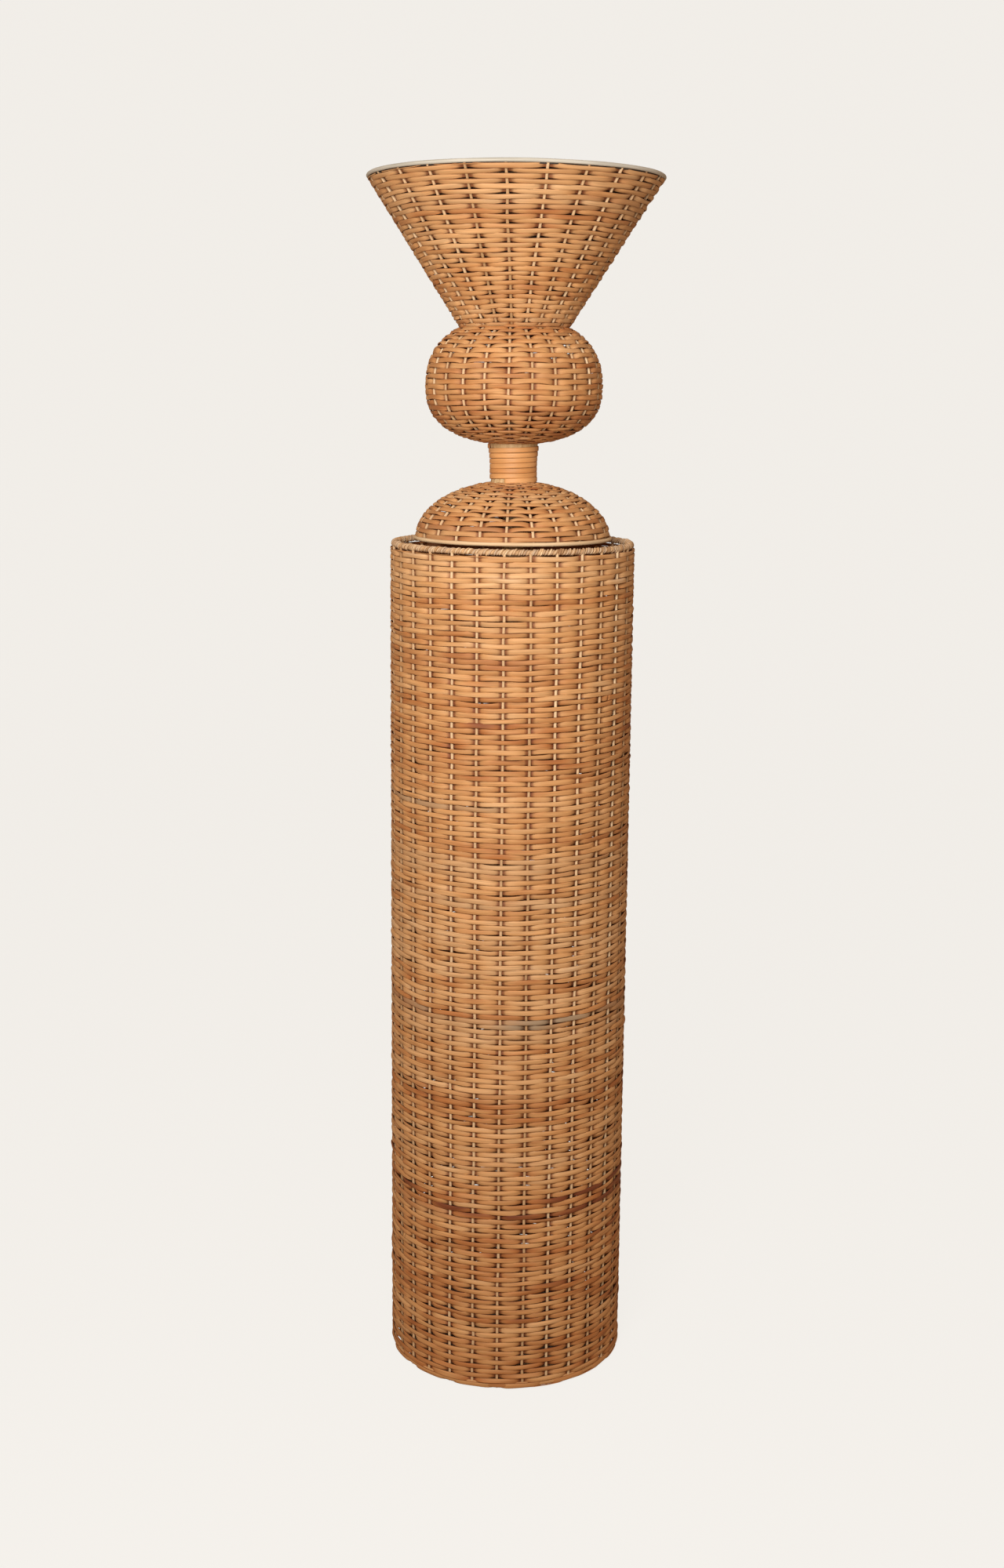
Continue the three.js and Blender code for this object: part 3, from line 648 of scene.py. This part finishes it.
def neckBinding():
    # Flat cane wound edge to edge round the neck. The neck's radius swells as the square of
    # the distance from where each flare begins.
    height = neckHigh.z - neckLow.z
    turns = height / neck["pitch"]
    steps = int(turns * neck["stepsPerTurn"])
    count = np.linspace(0.5, turns - 0.5, steps)
    share = count / turns
    random = np.random.default_rng(71)
    flare = (neck["footFlare"] * np.clip(1 - share / 0.18, 0, None) ** 2
             + neck["topFlare"] * np.clip((share - 0.45) / 0.55, 0, None) ** 2)
    radius = neck["radius"] + flare - neck["strip"] / 2 + smoothRandom(random, count * 6, 1.0, 0.12 * mm)
    level = neckLow.z + share * height + smoothRandom(random, count * 5, 1.0, 0.22 * mm)
    angle = count * turn + neck["startAngle"]
    centre = np.stack([radius * np.cos(angle), radius * np.sin(angle), level], axis=1)
    outwards = np.stack([np.cos(angle), np.sin(angle), 0 * angle], axis=1)
    upwards = np.tile([0.0, 0.0, 1.0], (steps, 1))
    section = roundSection(16, 0.5, 0.5, square=0.55)
    half = np.full(steps, neck["pitch"] * neck["cover"] / 2)
    grid = sweep(centre, upwards, outwards, half, np.full(steps, neck["strip"]), section)
    tone = 0.5 + smoothRandom(random, count * 2, 1.0, 0.1)
    values = strandValues(grid, angle * neck["radius"], tone, 0 * angle, section, half)
    makePiece("neckBinding", [grid], caneSkin, "torch_head", ["neck_binding"],
              gathered([values]))


neckBinding()
print("rings, border and neck made")


def softened(corners, bend, steps=4):
    # Replaces each corner of an outline with a short curve, which at share t is
    # (1-t)^2 of its start, 2t(1-t) of the corner and t^2 of its end.
    corners = np.array(corners, dtype=float)
    edges = np.roll(corners, -1, axis=0) - corners
    lengths = np.linalg.norm(edges, axis=1, keepdims=True)
    cut = np.minimum(bend, 0.45 * np.minimum(lengths, np.roll(lengths, 1, axis=0)))
    before = corners - np.roll(edges / lengths, 1, axis=0) * cut
    after = corners + edges / lengths * cut
    share = np.linspace(0, 1, steps)[None, :, None]
    curve = ((1 - share) ** 2 * before[:, None] + 2 * share * (1 - share) * corners[:, None]
             + share ** 2 * after[:, None])
    return curve.reshape(-1, 2)


def turnedPiece(name, profile, body, replaced, material, closed=True, ribs=None, facets=96,
                centre=(0.0, 0.0)):
    # Turns an outline of radius and height about a centre. Ribs stand out from its outside as
    # the fourth power of a cosine. An open outline ends in two small flat discs on the axis.
    angle = np.arange(facets) / facets * turn
    radius = np.repeat(np.maximum(profile[:, :1], 0.2 * mm), facets, axis=1)
    height = np.repeat(profile[:, 1:], facets, axis=1)
    if ribs:
        outside = (height > ribs["low"]) & (height < ribs["high"]) & (radius > ribs["inside"])
        radius = radius + outside * ribs["height"] * np.cos(ribs["count"] / 2 * angle) ** 4
    grid = np.stack([centre[0] + radius * np.cos(angle), centre[1] + radius * np.sin(angle), height],
                    axis=2)
    makePiece(name, [grid], material, body, replaced, wrapEnds=closed)


lamp = {"sheet": 1.3 * mm, "bodyHeight": 76 * mm, "shoulder": 10 * mm, "mouth": 21 * mm, "bead": 0.9 * mm,
        "linerInset": 17.33 * mm, "wickTube": 6.8 * mm, "wickBore": 5.4 * mm, "collarBore": 14.2 * mm,
        "ribs": 32, "snufferWall": 1.4 * mm, "knob": 5.0 * mm}


def rolledBead(radius, height, inwards):
    # Three points that press a shallow groove into a sheet wall.
    return [(radius, height - 1.6 * mm), (radius - inwards, height), (radius, height + 1.6 * mm)]


def canisterPiece():
    # A tin of one sheet's thickness: straight wall, two pressed beads, sloping shoulder, mouth.
    low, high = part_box("fuel_canister")
    sheet, radius, mouth = lamp["sheet"], high.x, lamp["mouth"]
    shoulder = low.z + lamp["bodyHeight"]
    throat = shoulder + lamp["shoulder"]
    inside = [(0, low.z + sheet), (radius - sheet, low.z + sheet), (radius - sheet, shoulder - sheet / 2),
              (mouth - sheet, throat - sheet / 2), (mouth - sheet, high.z)]
    outside = [(mouth, high.z), (mouth, throat), (radius, shoulder),
               *rolledBead(radius, shoulder - 7 * mm, lamp["bead"])[::-1],
               *rolledBead(radius, low.z + 7 * mm, lamp["bead"])[::-1], (radius, low.z), (0, low.z)]
    outline = softened(inside + outside, 1.4 * mm)
    turnedPiece("fuelCanister", outline[2:-2], "canister", ["fuel_canister"], tinnedSheet,
                closed=False)


def linerPiece():
    # A cone of sheet inside the bowl, at the weave's own slope, that turns out flat at its lip.
    low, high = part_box("liner")
    sheet = lamp["sheet"]
    slope = (coneHigh.x - waistRadius) / (coneHigh.z - coneLow.z)
    footRadius = waistRadius + (low.z - coneLow.z) * slope - lamp["linerInset"]
    topRadius = coneHigh.x - lamp["linerInset"]
    lip = high.z - 1.5 * mm
    reach = high.x + 0.8 * mm  # the lip rests against the rim ring
    corners = [(footRadius, low.z), (topRadius, lip), (reach - sheet, lip), (reach - sheet, lip - sheet),
               (reach, lip - sheet), (reach, high.z), (topRadius - sheet, high.z),
               (footRadius - sheet, low.z)]
    turnedPiece("bowlLiner", softened(corners, 1.2 * mm), "torch_head", ["liner"],
                stoveEnamel, facets=160)


def burnerPieces():
    # The plate is a flat disc round the wick's tube. The collar is a ribbed ring with a lid that
    # reaches inwards to its own bore.
    low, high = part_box("burner_plate")
    outer, bore = lamp["wickTube"], lamp["wickBore"]
    bottom, top = low.z + 12 * mm, low.z + 14 * mm
    corners = [(bore, low.z), (outer, low.z), (outer, bottom), (high.x, bottom), (high.x, top),
               (outer + 2 * mm, top), (outer, top + 2 * mm), (outer, high.z - 1.5 * mm),
               (outer + 0.4 * mm, high.z), (bore, high.z)]
    turnedPiece("burnerPlate", softened(corners, 0.5 * mm), "burner", ["burner_plate"], satinBrass)
    low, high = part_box("burner_collar")
    bore, outer = lamp["mouth"] + 0.8 * mm, lamp["mouth"] + 3.4 * mm
    lid = high.z - 1.5 * mm
    corners = [(bore, low.z), (outer + 0.6 * mm, low.z), (outer + 0.6 * mm, low.z + 1.5 * mm),
               (outer, low.z + 2 * mm), (outer, low.z + 8 * mm), (outer, lid - 2 * mm), (outer, high.z),
               (lamp["collarBore"], high.z), (lamp["collarBore"], lid), (bore, lid)]
    ribs = {"low": low.z + 2 * mm, "high": lid - 1 * mm, "inside": bore + 1 * mm, "height": 0.8 * mm,
            "count": lamp["ribs"]}
    turnedPiece("clampCollar", softened(corners, 0.5 * mm), "clamp_collar", ["burner_collar"],
                satinBrass, ribs=ribs, facets=320)


def snufferPieces():
    # The cap is a thimble of sheet. The knob is a thin stem under a bead, whose radius is the
    # cosine and whose height is the sine of one angle.
    low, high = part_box("snuffer")
    wall, radius = lamp["snufferWall"], high.x
    inside = [(0, high.z - wall), (radius - wall - 4 * mm, high.z - wall),
              (radius - wall, high.z - wall - 4 * mm), (radius - wall, low.z)]
    outside = [(radius, low.z), (radius, low.z + 3 * mm), (radius - 0.5 * mm, low.z + 4 * mm),
               (radius - 0.5 * mm, high.z - 5 * mm), (radius - 4 * mm, high.z), (0, high.z)]
    turnedPiece("snufferCap", softened(inside + outside, 1.2 * mm)[2:-2], "snuffer_cap", ["snuffer"],
                tinnedSheet, closed=False)
    low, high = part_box("snuffer_knob")
    bulge = np.linspace(-1.15, np.pi / 2, 14)
    middle = (low.z + 2 * mm + high.z) / 2
    bead = np.stack([lamp["knob"] * np.cos(bulge), middle + (high.z - middle) * np.sin(bulge)], axis=1)
    stem = np.array([(0, low.z), (2 * mm, low.z), (2 * mm, low.z + 1.2 * mm)])
    turnedPiece("snufferKnob", np.concatenate([stem, bead]), "snuffer_cap", ["snuffer_knob"],
                satinBrass, closed=False, facets=48)


def wickPiece():
    # A round braid whose threads ripple its skin, a little shrunk and rounded at the burnt end.
    low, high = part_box("wick")
    height = np.linspace(low.z, high.z, 200)
    near = np.clip((high.z - height) / (2.5 * mm), 0, 1)
    ripple = 0.12 * mm * np.sin(height / (1.5 * mm) * turn) ** 2
    radius = high.x * np.sqrt(1 - 0.8 * (1 - near) ** 2) - ripple
    profile = np.stack([np.pad(radius, 1), [low.z, *height, high.z + 0.3 * mm]], axis=1)
    turnedPiece("braidedWick", profile, "wick_strand", ["wick"], wickFibre, closed=False,
                facets=48)


def peeledPoles():
    # Rattan poles swell a little at each joint, by a bell curve every 16 to 20 cm, and a second
    # and narrower bell curve cuts a groove in its middle.
    for k, node in enumerate(["centre_pole", "upright_1", "upright_2", "upright_3", "upright_4"]):
        low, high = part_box(node)
        radius = (high.x - low.x) / 2
        height = np.linspace(low.z, high.z, 260)
        spacing = 0.16 + 0.01 * k
        offset = (height - low.z + 0.05 * k) % spacing - spacing / 2
        slimmed = 0.5 * mm * (1 - np.exp(-(offset / (6 * mm)) ** 2))
        groove = 0.25 * mm * np.exp(-(offset / (0.8 * mm)) ** 2)
        profile = np.stack([np.pad(radius - slimmed - groove, 1), [low.z, *height, high.z]], axis=1)
        body = "torch_head" if node == "centre_pole" else "column"
        turnedPiece(node.replace("_", ""), profile, body, [node], peeledPole, closed=False,
                    facets=40, centre=((low.x + high.x) / 2, (low.y + high.y) / 2))


canisterPiece()
linerPiece()
burnerPieces()
snufferPieces()
wickPiece()
peeledPoles()
print("lamp and poles made")

# Finishes of the frame's own pieces, by their names without a number.
finishOfNode = {
    "base_board": plywood, "top_board": plywood, "dome_board": plywood, "ballast_slab": castConcrete,
    "pole_socket": turnedWood, "neck_core": turnedWood, "ball_hoop": peeledPole, "waist_hoop": peeledPole,
    "frame_hoop": peeledPole, "canister_tray": platedSteel, "tray_screw": platedSteel,
    "glide_screw": platedSteel, "base_screw": platedSteel, "top_screw": platedSteel,
    "gasket": mouldedRubber, "glide": mouldedRubber,
}
for nodeName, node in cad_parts.items():
    finish = finishOfNode.get(nodeName.rstrip("_1234"))
    if finish:
        node.data.materials.clear()
        node.data.materials.append(finish)
print("frame pieces finished")


bpy.context.scene.view_settings.view_transform = "Standard"
studio = {"pale": "#F4F1EC", "paper": "#484746", "glow": 0.945, "radius": 5.0, "bend": 0.9, "wall": 3.0,
          "around": 128, "rings": 24}


def backdrop():
    # A round room: the floor bends up into a wall in a quarter circle, and the wall closes
    # overhead in a quarter ellipse. Every face looks inwards.
    bend = np.linspace(0, np.pi / 2, studio["rings"])
    ceiling = np.linspace(0, 0.48 * np.pi, studio["rings"])
    radius = np.concatenate([studio["radius"] - studio["bend"] * (1 - np.sin(bend)),
                             studio["radius"] * np.cos(ceiling)])
    height = np.concatenate([studio["bend"] * (1 - np.cos(bend)), studio["wall"] * (1 + np.sin(ceiling))])
    angle = np.arange(studio["around"]) / studio["around"] * turn
    points = np.stack([np.outer(radius, np.cos(angle)), np.outer(radius, np.sin(angle)),
                       np.outer(height, np.ones_like(angle))], axis=2)
    corner = np.arange(len(radius) * studio["around"]).reshape(len(radius), -1)
    after = np.roll(corner, -1, axis=1)
    quads = np.stack([corner[:-1], corner[1:], after[1:], after[:-1]], axis=2).reshape(-1, 4)
    mesh = bpy.data.meshes.new("backdrop")
    mesh.from_pydata(points.reshape(-1, 3).tolist(), [],
                     [*quads.tolist(), corner[0].tolist(), corner[-1, ::-1].tolist()])
    mesh.polygons.foreach_set("use_smooth", [True] * len(mesh.polygons))
    # Lit paper: most of its light is its own, so shadows on it stay faint and even. From
    # outside it is clear, so the torch can be seen from below the floor.
    material, tree, shader = newMaterial("paper backdrop, lit from behind", 1.0)
    shader.inputs["Base Color"].default_value = linearColour(studio["paper"])
    shader.inputs["Specular IOR Level"].default_value = 0.0
    shader.inputs["Emission Color"].default_value = linearColour(studio["pale"])
    shader.inputs["Emission Strength"].default_value = studio["glow"]
    outside = addNode(tree, "NewGeometry").outputs["Backfacing"]
    clear = addNode(tree, "BsdfTransparent")
    shown = addNode(tree, "MixShader", links={0: outside, 1: shader.outputs[0], 2: clear.outputs[0]})
    tree.links.new(shown.outputs[0], tree.nodes["Material Output"].inputs["Surface"])
    mesh.materials.append(material)
    piece = bpy.data.objects.new("backdrop", mesh)
    bpy.context.scene.collection.objects.link(piece)
    piece.visible_diffuse = False  # its glow neither lights the torch nor shines in it
    piece.visible_glossy = False
    piece.visible_shadow = False


def lookAlong(direction):
    # The turn that points a lamp's -Z along a direction, with its top upwards.
    x, y, z = unit(direction)
    return (np.pi / 2 + np.arcsin(z), 0.0, np.arctan2(-x, y))


keyLight = {"place": (-0.3, -1.75, 1.62), "aim": (0.0, 0.0, 1.25), "width": 0.95, "power": 37.0}
air = {"colour": "#FFDAB6", "strength": 0.36}
view = {"distance": 2.484, "height": 1.288, "pitch": 11.445, "yaw": 0.351, "roll": -0.5,
        "lens": 44.1, "film": 36}  # angles in degrees, lens and film in millimetres


def softLamp():
    # One round lamp in front, above and a little to the left of the torch.
    data = bpy.data.lights.new("keyLight", "AREA")
    data.shape = "DISK"
    data.size = keyLight["width"]
    data.energy = keyLight["power"]
    light = bpy.data.objects.new("keyLight", data)
    light.location = keyLight["place"]
    light.rotation_euler = lookAlong(np.array(keyLight["aim"]) - np.array(keyLight["place"]))
    light.visible_camera = False  # it stands near the view's upper edge
    bpy.context.scene.collection.objects.link(light)


backdrop()
softLamp()
world = bpy.data.worlds.new("studioAir")
bpy.context.scene.world = world
world.use_nodes = True
world.node_tree.nodes["Background"].inputs["Color"].default_value = linearColour(air["colour"])
world.node_tree.nodes["Background"].inputs["Strength"].default_value = air["strength"]

cameraData = bpy.data.cameras.new("camera")
cameraData.sensor_width = view["film"]
cameraData.lens = view["lens"]
camera = bpy.data.objects.new("camera", cameraData)
camera.location = (0.0, -view["distance"], view["height"])
camera.rotation_euler = np.radians([90 - view["pitch"], view["roll"], view["yaw"]])
bpy.context.scene.collection.objects.link(camera)
bpy.context.scene.camera = camera
print("studio ready")
